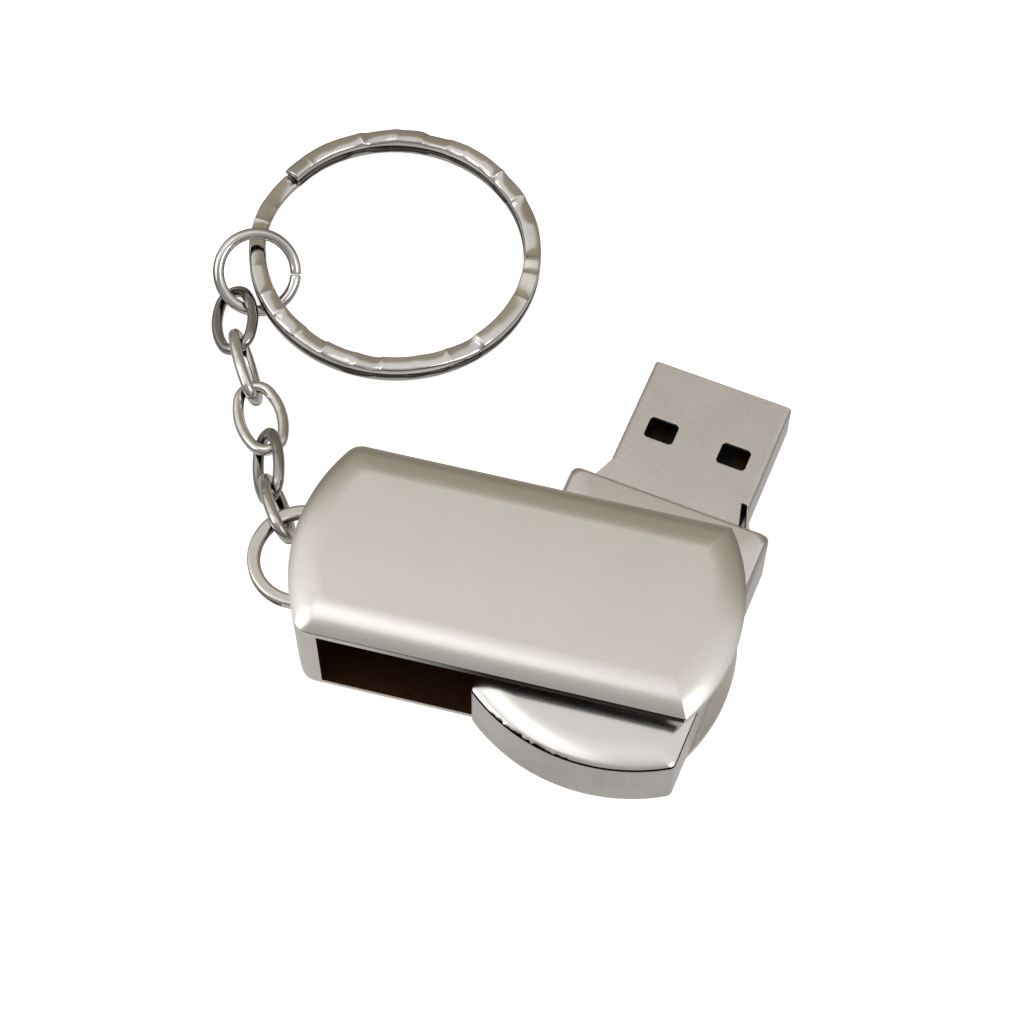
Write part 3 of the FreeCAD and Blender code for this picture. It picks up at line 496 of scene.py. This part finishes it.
# ---------------------------------------------------------------- drive lid
BODY_HALF = 8.5
BODY_FRONT = 10.9
BODY_REAR = 13.2
BODY_CORNER = 0.65
LID_EDGE_ANGLE = 25.0
LID_EASE = 0.9
LID_WALL = 0.07             # the upright edge under the crown
CORNER_GROWTH = 0.5         # how much a corner's radius grows with the inset
FRONT_SHARE = 0.22          # how much of the crown's run the front keeps
FRONT_BLEND = (-6.0, 2.0)   # where, along the drive, the rear's crown turns into the front's
LEDGE = 0.12                # how far the edge stands in from the tray at the rear
LEDGE_FRONT = 0.03          # and towards the plug
LEDGE_BLEND = (-8.0, -2.0)
RAGGED = 0.10               # the trim line's unevenness
RAGGED_END = -8.0           # it is strongest behind this place
RAGGED_CENTRE = 2.5
RAGGED_REACH = 3.2
RAGGED_ELSEWHERE = 0.15
TRIM_DEPTH = 0.3            # the trim's unevenness fades out this far inwards
LID_HOLE = 1.55
LID_BOSS = 3.2
BOSS_DROP = 0.3
LIP_INNER = 1.45            # the locating lip's two faces, as insets
LIP_OUTER = 0.95
LIP_DROP = 0.4
LIP_DROP_OVER_PLUG = 0.02
PLUG_ROOM_HALF = 6.4
PLUG_ROOM_START = 4.4


def body_outline(inset, corner):
    """The drive's plan, set in all round: straight towards the plug, an arc at the rear."""
    right = flat_end(BODY_HALF - inset, BODY_FRONT - inset, corner)
    left = bulging_end(BODY_HALF - inset, BODY_REAR - END_RADIUS, END_RADIUS - inset, corner)
    return join_ends(right, left)


def on_circle(outline, radius):
    """The outline's points moved to a circle about the swivel axis."""
    spread = [math.atan2(y, x) for x, y in outline]
    return [(radius * math.cos(a), radius * math.sin(a)) for a in spread]


def smooth_step(value, low, high):
    """0 below low, 1 above high and an even ease between them."""
    share = min(max((value - low) / (high - low), 0.0), 1.0)
    return share * share * (3 - 2 * share)


def lid_outline(inset):
    """The body outline set in by that much at the rear and by less towards the plug."""
    wide = body_outline(inset, BODY_CORNER + CORNER_GROWTH * inset)
    narrow = body_outline(inset * FRONT_SHARE,
                          BODY_CORNER + CORNER_GROWTH * inset * FRONT_SHARE)
    line = []
    for (x, y), (far_x, far_y) in zip(wide, narrow):
        share = smooth_step(x, *FRONT_BLEND)
        line.append((x + (far_x - x) * share, y + (far_y - y) * share))
    return line


def ragged_edge(outline):
    """How far each point of the lid's edge stands in: a fine uneven trim line."""
    trims = []
    for x, y in outline:
        # a slow beat of two waves, and a fine one over it
        rough = math.sin(5.3 * y + 1.1) * math.sin(2.1 * y + 0.4) + 0.6 * math.sin(9.7 * y)
        envelope = (math.exp(-((y - RAGGED_CENTRE) / RAGGED_REACH) ** 2) if x < RAGGED_END
                    else RAGGED_ELSEWHERE)
        ledge = LEDGE_FRONT + (LEDGE - LEDGE_FRONT) * (1 - smooth_step(x, *LEDGE_BLEND))
        trims.append(ledge + RAGGED * envelope * (0.6 + rough))
    return trims


def make_lid():
    """A crowned plate with a trim line, a locating lip, a boss and the swivel hole."""
    top = lid_high[2] / MM
    edge = body_outline(0.0, BODY_CORNER)
    trims = ragged_edge(edge)
    rise = crown(top - BODY_SEAM - LID_WALL, LID_EDGE_ANGLE, LID_EASE)
    run = rise[-1][0]

    def trimmed(inset, level):
        """An outline with the ragged trim fading inwards."""
        line = lid_outline(inset)
        fade = max(0.0, 1.0 - inset / TRIM_DEPTH)
        shares = [1 - trim * fade / math.hypot(x, y) for (x, y), trim in zip(line, trims)]
        return [(x * share, y * share, level) for (x, y), share in zip(line, shares)]

    def level_loop(line, level):
        return [(x, y, level) for x, y in line]

    def lip_foot(line):
        """The lip's lower edge, lifted clear where the plug passes."""
        foot = []
        for x, y in line:
            over_plug = x > PLUG_ROOM_START and abs(y) < PLUG_ROOM_HALF
            foot.append((x, y, BODY_SEAM - (LIP_DROP_OVER_PLUG if over_plug else LIP_DROP)))
        return foot

    loops = [trimmed(0.0, BODY_SEAM)]
    loops += [trimmed(inset, BODY_SEAM + LID_WALL + up) for inset, up in rise]
    crisp = [0, 1]
    flat = lid_outline(run)
    boss = on_circle(flat, LID_BOSS)
    hole = on_circle(flat, LID_HOLE)
    lip_inner = body_outline(LIP_INNER, BODY_CORNER)
    lip_outer = body_outline(LIP_OUTER, BODY_CORNER)
    hidden = [level_loop(boss, top), level_loop(hole, top),
              level_loop(hole, BODY_SEAM - BOSS_DROP), level_loop(boss, BODY_SEAM - BOSS_DROP),
              level_loop(boss, BODY_SEAM), level_loop(lip_inner, BODY_SEAM),
              lip_foot(lip_inner), lip_foot(lip_outer), level_loop(lip_outer, BODY_SEAM)]
    crisp += [len(loops) + k for k in range(1, len(hidden))]
    loops += hidden
    points, faces, sharp = loft(loops, True, crisp)
    obj = new_mesh("lid_crowned_plate", points, faces, lid_metal, sharp=sharp)
    obj.matrix_world = Matrix.Rotation(math.radians(DRIVE_TURN), 4, "Z")
    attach(obj, "drive")
    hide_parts("body_lid")
    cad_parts["body_lid"].hide_render = True


make_lid()

# ---------------------------------------------------------------- chain links
WIRE_RADIUS = 0.485         # a little under the CAD wire's, so that pieces clear each other
WIRE_SIDES = 20
BUTT_SIZE = 0.93            # the wire is pinched where its two ends meet
LINK_HALF_LENGTH = 3.27
LINK_HALF_WIDTH = 1.78
LINK_END_RADIUS = 1.4
ARC_STEPS = 24
# each link's tone: darker for links 2 and 5 as painted shade
LINK_SHADE_TONES = {1: 0.90, 2: 0.60, 3: 1.0, 4: 1.0, 5: 0.50}
# each link at rest: its centre, heading, slope and roll
LINKS = [
    ((-29.81, 4.15, 4.38), -61.4, 20.3, 111.6),
    ((-31.96, 8.44, 3.03), -66.8, 11.7, 57.5),
    ((-34.05, 13.00, 2.47), -58.8, 3.5, 1.8),
    ((-36.80, 17.64, 2.22), -60.7, 1.5, 106.5),
    ((-39.25, 22.31, 1.50), -68.4, 11.0, 24.5),
]


def oval_line():
    """Along a link's centre line: each point, its outward angle, and whether it is the butt."""
    flat = LINK_HALF_LENGTH - LINK_END_RADIUS
    rise = LINK_HALF_WIDTH - LINK_END_RADIUS
    side = (flat ** 2 / rise + LINK_END_RADIUS + LINK_HALF_WIDTH) / 2
    turn = math.atan2(side - LINK_HALF_WIDTH, flat)
    arcs = []
    for quarter in range(4):
        middle = math.pi / 2 + quarter * math.pi / 2
        if quarter % 2 == 0:
            centre = (0.0, (LINK_HALF_WIDTH - side) * (1 if quarter == 0 else -1))
            arcs.append((centre, side, middle, math.pi / 2 - turn))
        else:
            centre = (-flat if quarter == 1 else flat, 0.0)
            arcs.append((centre, LINK_END_RADIUS, middle, turn))
    line = []
    for index, (centre, radius, middle, half) in enumerate(arcs):
        for step in range(ARC_STEPS):
            angle = middle - half + 2 * half * step / ARC_STEPS
            place = (centre[0] + radius * math.cos(angle), centre[1] + radius * math.sin(angle))
            line.append((place, angle, index == 0 and step == ARC_STEPS // 2))
    return line


def underside(sections, turn):
    """Painted shade: 1 on the lower side of each wire section, once the piece is turned to its rest
    place.
    """
    painted_shades = []
    for section in sections:
        heights = [(turn @ Vector(p)).z for p in section]
        middle = (max(heights) + min(heights)) / 2
        reach = max(max(heights) - middle, 0.3 * WIRE_RADIUS)
        painted_shades += [smooth_step((middle - h) / reach, 0.0, 0.7) for h in heights]
    return painted_shades


def wire_section(x, y, angle, radius):
    """A round cross section whose plane holds the outward direction and Z."""
    return [(x + radius * math.cos(t) * math.cos(angle),
             y + radius * math.cos(t) * math.sin(angle),
             radius * math.sin(t))
            for t in (2 * math.pi * k / WIRE_SIDES for k in range(WIRE_SIDES))]


def make_link(number, centre, heading, slope, roll):
    """One oval link of round wire, closed by a pinched butt."""
    sections = []
    tones = []
    for (x, y), angle, at_butt in oval_line():
        sections.append(wire_section(x, y, angle, WIRE_RADIUS * (BUTT_SIZE if at_butt else 1.0)))
        worn = 0.85 + 0.15 * math.cos(1.5 * angle + number) ** 2
        tones += [worn * LINK_SHADE_TONES[number]] * WIRE_SIDES
    painted_shades = underside(sections, rest_turn(heading, slope, roll))
    points, faces, _ = loft(sections, True)
    obj = new_mesh("link_wire_%d" % number, points, faces, chain_metal,
                   layers={"tone": tones, "painted_shade": painted_shades})
    obj.matrix_world = (Matrix.Translation(Vector(centre) * MM)
                        @ rest_turn(heading, slope, roll).to_4x4())
    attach(obj, "link_%d" % number)
    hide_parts("chain_link_%d" % number)
    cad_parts["chain_link_%d" % number].hide_render = True


for number, (centre, heading, slope, roll) in enumerate(LINKS, start=1):
    make_link(number, centre, heading, slope, roll)

# ---------------------------------------------------------------- jump ring
JUMP_CENTRE = (-38.59, 27.04, 2.30)
JUMP_RADIUS = 3.35
JUMP_HEADING = 124.4
JUMP_SLOPE = 32.2
JUMP_GAP_ANGLE = 250.0
JUMP_GAP = 1.2
JUMP_STEPS = 110
# a dome on each end: share of the ring's travel and share of the wire's radius
JUMP_DOMES = ((0.0, 0.80), (0.003, 0.95), (0.006, 1.0))


def make_jump_ring():
    """Round wire with two domed ends that nearly meet."""
    sections = []
    start = math.radians(JUMP_GAP_ANGLE)
    sweep = math.radians(360.0 - JUMP_GAP)
    first = len(JUMP_DOMES)
    places = [start + sweep * share for share, _ in JUMP_DOMES]
    radii = [size for _, size in JUMP_DOMES]
    for i in range(first, JUMP_STEPS - first + 1):
        places.append(start + sweep * i / JUMP_STEPS)
        radii.append(1.0)
    places += [start + sweep * (1 - share) for share, _ in reversed(JUMP_DOMES)]
    radii += [size for _, size in reversed(JUMP_DOMES)]
    for angle, size in zip(places, radii):
        sections.append(wire_section(JUMP_RADIUS * math.cos(angle),
                                     JUMP_RADIUS * math.sin(angle), angle,
                                     WIRE_RADIUS * size))
    points, faces, _ = loft(sections, False)
    count = len(sections)
    tones = [0.86 + 0.14 * math.cos(0.17 * i) for i in range(count) for _ in range(WIRE_SIDES)]
    turn = rest_turn(JUMP_HEADING, JUMP_SLOPE, 0)
    painted_shades = underside(sections, turn)
    # painted shade on the wire's outer face too
    for i in range(count):
        for side in range(WIRE_SIDES):
            outward = math.cos(2 * math.pi * side / WIRE_SIDES)
            index = i * WIRE_SIDES + side
            painted_shades[index] = max(painted_shades[index], smooth_step(outward, 0.80, 1.0))
    obj = new_mesh("jump_ring_wire", points, faces, chain_metal,
                   layers={"tone": tones, "painted_shade": painted_shades})
    obj.matrix_world = Matrix.Translation(Vector(JUMP_CENTRE) * MM) @ turn.to_4x4()
    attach(obj, "jump_ring")
    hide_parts("jump_ring")
    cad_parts["jump_ring"].hide_render = True


make_jump_ring()

# ---------------------------------------------------------------- split ring
RING_CENTRE = (-27.7, 32.5, 0.6)
RING_RADIUS = 12.05
RING_STRIP = 1.5            # the wire's width and thickness
RING_TURN = 0.95
RING_PITCH = 1.0            # the rise from one turn to the next
RING_END_ANGLE = 155.0
RING_CROSSOVER = 40.0
RING_LIFT = 1.2             # how high its far edge leans on the jump ring
RING_LIFT_HEADING = 215.0
RING_CORNER = 0.22
RING_CROWN = 0.14
CROWN_SAMPLES = (0.3, 0.12, -0.12, -0.3)
CORNER_SAMPLES = 5
# painted shade: the lower turn's tone is darker, and its top is darkened where the upper turn lies
# on it
LOWER_TURN_SHADE_TONE = 0.62
LOWER_TURN_SHADE = 0.8
SHADED_DEPTH = 0.35         # painted shade covers the lower turn down to this depth, where it meets the upper
SHADED_FOOT = 0.26          # and each turn along this share of its thickness
RING_SEED = 11
FACET_SHORTEST = 8.0
FACET_LONGEST = 17.0
# a facet's dent, sideways lean and tone lie between these, and its pitch within the last one
FACET_LOW = (0.00, -0.19, 0.80)
FACET_HIGH = (0.08, 0.19, 1.02)
FACET_PITCH = 0.12
FACET_SAMPLES = (-1.0, -0.93, -0.82, -0.6, -0.3, 0.0, 0.3, 0.6, 0.82, 0.93)
FACET_BLEND = (0.55, 1.45)
SIDE_DENT = 0.25


def ring_level(travel):
    """Height of the wire's lower face after some degrees of travel from the lower end."""
    first = 360.0 - RING_CROSSOVER
    climb = min(max((travel - first) / RING_CROSSOVER, 0.0), 1.0)
    return RING_PITCH * climb


def strip_section():
    """The wire's cross section, (across, up): rounded corners and a crowned top."""
    half = RING_STRIP / 2
    corner = RING_CORNER
    centres = ((half - corner, corner), (half - corner, RING_TURN - corner),
               (corner - half, RING_TURN - corner), (corner - half, corner))
    section = []
    for quarter, (across, up) in enumerate(centres):
        for step in range(CORNER_SAMPLES):
            angle = math.radians(90.0 * (quarter - 1 + step / (CORNER_SAMPLES - 1)))
            section.append((across + corner * math.cos(angle), up + corner * math.sin(angle)))
        if quarter == 1:
            section += [(across, RING_TURN) for across in CROWN_SAMPLES]
    return [(across, up - RING_CROWN * (across / half) ** 2 * (up > RING_TURN / 2))
            for across, up in section]


def make_split_ring():
    """Two turns of flat wire. Short hammered flats give each stretch its own slight tilt."""
    rng = np.random.default_rng(RING_SEED)
    lower_turn = 360.0 - RING_CROSSOVER
    total = 2 * lower_turn + RING_CROSSOVER
    outline = strip_section()
    facets = []
    travel = 0.0
    while travel < total:
        length = min(rng.uniform(FACET_SHORTEST, FACET_LONGEST), total - travel)
        if total - travel - length < FACET_SHORTEST / 2:
            length = total - travel
        facets.append((travel, length, rng.uniform(FACET_LOW, FACET_HIGH),
                       rng.uniform(-FACET_PITCH, FACET_PITCH)))
        travel += length
    sections = []
    tones = []
    painted_shades = []
    for index, (travel, length, values, pitch) in enumerate(facets):
        before = facets[max(index - 1, 0)][2]
        after = facets[min(index + 1, len(facets) - 1)][2]
        run = math.radians(length / 2) * RING_RADIUS
        for within in FACET_SAMPLES + ((1.0,) if index == len(facets) - 1 else ()):
            here = travel + length * (within + 1) / 2
            neighbour = before if within < 0 else after
            share = smooth_step(abs(within), *FACET_BLEND)
            dent, lean, tone = values + (neighbour - values) * share
            slope = (abs(pitch) + pitch * within) * run * (1 - within ** 4)
            angle = math.radians(RING_END_ANGLE + RING_CROSSOVER + here)
            low = ring_level(here)
            for across, up in outline:
                # painted shade at each turn's foot, and on the lower turn's top where the upper turn
                # lies over it
                painted_shade = max(0.0, 1.0 - up / (SHADED_FOOT * RING_TURN))
                if up > RING_TURN / 2:
                    if here < lower_turn - 2.0 and up > RING_TURN - SHADED_DEPTH:
                        painted_shade = LOWER_TURN_SHADE
                    up -= dent + abs(lean) * RING_STRIP / 2 + lean * across + slope
                radius = RING_RADIUS + across * (1 - SIDE_DENT * dent)
                sections.append((radius * math.cos(angle), radius * math.sin(angle), low + up))
                painted_shades.append(painted_shade)
                # painted shade: the lower turn's tone is darker
                tones.append(tone * (LOWER_TURN_SHADE_TONE if here < lower_turn else 1.0))
    count = len(outline)
    rows = [sections[i:i + count] for i in range(0, len(sections), count)]
    points, faces, _ = loft(rows, False)
    obj = new_mesh("split_ring_wire", points, faces, ring_metal,
                   layers={"tone": tones, "painted_shade": painted_shades})
    heading = math.radians(RING_LIFT_HEADING)
    axis = Vector((math.sin(heading), -math.cos(heading), 0))
    tilt = math.asin(RING_LIFT / (2 * (RING_RADIUS + RING_STRIP / 2)))
    obj.matrix_world = (Matrix.Translation(Vector(RING_CENTRE) * MM)
                        @ Matrix.Rotation(tilt, 4, axis))
    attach(obj, "split_ring")
    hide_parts("split_ring")
    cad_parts["split_ring"].hide_render = True


make_split_ring()

# ---------------------------------------------------------------- stage and light
FLOOR_HALF = 3000.0
FLOOR_LEVEL = -0.02
FLOOR_GLOW = 0.8


def make_floor():
    """A pale sheet, faintly lit by itself, that the metal doesn't mirror."""
    paper = plain("paper", (0.93, 0.93, 0.93), (0.91, 0.91, 0.91), 0.9, scale=40.0, bump=0.0)
    shader = paper.node_tree.nodes["Principled BSDF"]
    shader.inputs["Emission Color"].default_value = (1, 1, 1, 1)
    shader.inputs["Emission Strength"].default_value = FLOOR_GLOW
    corners = [(across * FLOOR_HALF, along * FLOOR_HALF, FLOOR_LEVEL)
               for across, along in ((-1, -1), (1, -1), (1, 1), (-1, 1))]
    floor = new_mesh("floor_sheet", corners, [(0, 1, 2, 3)], paper, smooth=False)
    floor.visible_glossy = False


make_floor()


def tinted(level, warmth):
    """A grey, made yellower by its warmth."""
    return level, level * (0.985 - 0.09 * warmth), level * (0.955 - 0.24 * warmth), 1


def neutral(level):
    """A grey."""
    return level, level, level, 1


def add_ramp(tree, value, stops, colour):
    """Brightness by direction: each stop is a component of the direction and its level."""
    shift = tree.nodes.new("ShaderNodeMapRange")
    shift.inputs["From Min"].default_value = -1.0
    tree.links.new(value, shift.inputs["Value"])
    ramp = tree.nodes.new("ShaderNodeValToRGB")
    for stop in stops[1:-1]:
        ramp.color_ramp.elements.new((stop[0] + 1) / 2)
    for element, (component, *level) in zip(ramp.color_ramp.elements, stops):
        element.position = (component + 1) / 2
        element.color = colour(*level)
    tree.links.new(shift.outputs["Result"], ramp.inputs["Fac"])
    return ramp.outputs["Color"]


def mix_colours(tree, kind, first, second, factor=None):
    """Two colours multiplied or mixed, all the way unless a factor is given."""
    node = tree.nodes.new("ShaderNodeMix")
    node.data_type = "RGBA"
    node.blend_type = kind
    node.inputs["Factor"].default_value = 1.0
    if factor is not None:
        tree.links.new(factor, node.inputs["Factor"])
    tree.links.new(first, node.inputs["A"])
    tree.links.new(second, node.inputs["B"])
    return node.outputs["Result"]


# The room's brightness by direction. BACKWARD stops run from the front, -1, to the back, 1, and
# are (component, level, warmth); SIDEWAYS stops run from left to right and UPWARD ones by height,
# and are (component, level). SKY is above the horizon and UNDER is below it.
SKY_BACKWARD = [(-1.0, 0.30, 0.1), (-0.9, 0.33, 0.1), (-0.6, 0.38, 0.0), (-0.45, 0.43, 0.0),
                (-0.3, 0.54, -0.1), (-0.1, 0.74, -0.15), (0.0, 0.78, -0.15),
                (0.40, 0.70, 0.0), (0.43, 0.665, 0.08), (0.455, 0.63, 0.17),
                (0.475, 0.59, 0.3), (0.49, 0.53, 0.5), (0.53, 0.43, 0.75),
                (0.6, 0.35, 1.0), (0.8, 0.31, 1.0), (1.0, 0.34, 1.0)]
SKY_SIDEWAYS = [(-1.0, 1.10), (-0.1, 1.0), (0.5, 0.96), (1.0, 0.92)]
SKY_UPWARD = [(-0.25, 1.0), (-0.1, 0.60), (0.05, 0.55), (0.2, 0.80), (0.4, 1.0)]
UNDER_BACKWARD = [(-1.0, 0.30, 0.5), (-0.6, 0.55, 0.1), (0.4, 0.60, 0.0), (0.7, 0.42, 0.6),
                  (1.0, 0.36, 1.0)]
UNDER_SIDEWAYS = [(-1.0, 0.45), (-0.55, 0.9), (-0.4, 1.0), (0.4, 1.0), (0.6, 0.65),
                  (1.0, 0.50)]


def make_world():
    """A pale room: bright overhead and in front, dim and warm low behind."""
    world = bpy.data.worlds.new("room")
    bpy.context.scene.world = world
    world.use_nodes = True
    tree = world.node_tree
    tree.nodes.clear()
    output = tree.nodes.new("ShaderNodeOutputWorld")
    back = tree.nodes.new("ShaderNodeBackground")
    coords = tree.nodes.new("ShaderNodeTexCoord")
    split = tree.nodes.new("ShaderNodeSeparateXYZ")
    tree.links.new(coords.outputs["Generated"], split.inputs["Vector"])
    x, y, z = (split.outputs[axis] for axis in "XYZ")
    sky = mix_colours(tree, "MULTIPLY", add_ramp(tree, y, SKY_BACKWARD, tinted),
                      add_ramp(tree, x, SKY_SIDEWAYS, neutral))
    under = mix_colours(tree, "MULTIPLY", add_ramp(tree, y, UNDER_BACKWARD, tinted),
                        add_ramp(tree, x, UNDER_SIDEWAYS, neutral))
    edge = tree.nodes.new("ShaderNodeMapRange")
    edge.inputs["From Min"].default_value = -0.05
    edge.inputs["From Max"].default_value = 0.05
    tree.links.new(z, edge.inputs["Value"])
    room = mix_colours(tree, "MIX", under, sky, edge.outputs["Result"])
    room = mix_colours(tree, "MULTIPLY", room, add_ramp(tree, z, SKY_UPWARD, neutral))
    tree.links.new(room, back.inputs["Color"])
    tree.links.new(back.outputs["Background"], output.inputs["Surface"])


make_world()


LIGHT_AIM = (-0.02, 0.01, 0.0)


def area_light(name, place, width, height, power):
    """A soft light at a place in metres that faces the object; its power is in watts."""
    data = bpy.data.lights.new(name, "AREA")
    data.shape = "RECTANGLE"
    data.size = width
    data.size_y = height
    data.energy = power
    obj = bpy.data.objects.new(name, data)
    bpy.context.scene.collection.objects.link(obj)
    obj.location = place
    direction = Vector(LIGHT_AIM) - Vector(place)
    obj.rotation_mode = "QUATERNION"
    obj.rotation_quaternion = direction.to_track_quat("-Z", "Y")


area_light("top_softbox", (-0.16, -0.06, 0.55), 0.34, 0.20, 0.11)
area_light("left_card", (-0.40, -0.16, 0.32), 0.30, 0.30, 0.40)
area_light("right_card", (0.36, -0.12, 0.34), 0.22, 0.22, 0.38)


# ---------------------------------------------------------------- camera
def make_camera():
    """The view from in front, a little to the right and well above."""
    azimuth = math.radians(CAMERA_AZIMUTH)
    elevation = math.radians(CAMERA_ELEVATION)
    back = Vector((math.sin(azimuth) * math.cos(elevation),
                   -math.cos(azimuth) * math.cos(elevation), math.sin(elevation)))
    data = bpy.data.cameras.new("photo_camera")
    data.lens = CAMERA_LENS
    data.sensor_width = CAMERA_SENSOR
    data.clip_start = 0.01
    data.clip_end = 20.0
    camera = bpy.data.objects.new("photo_camera", data)
    bpy.context.scene.collection.objects.link(camera)
    camera.location = (Vector(CAMERA_TARGET) + back * CAMERA_DISTANCE) * MM
    camera.rotation_mode = "QUATERNION"
    roll = Quaternion((0, 0, 1), math.radians(CAMERA_ROLL))
    camera.rotation_quaternion = (-back).to_track_quat("-Z", "Y") @ roll
    bpy.context.scene.camera = camera


make_camera()
bpy.context.scene.view_settings.view_transform = "Standard"
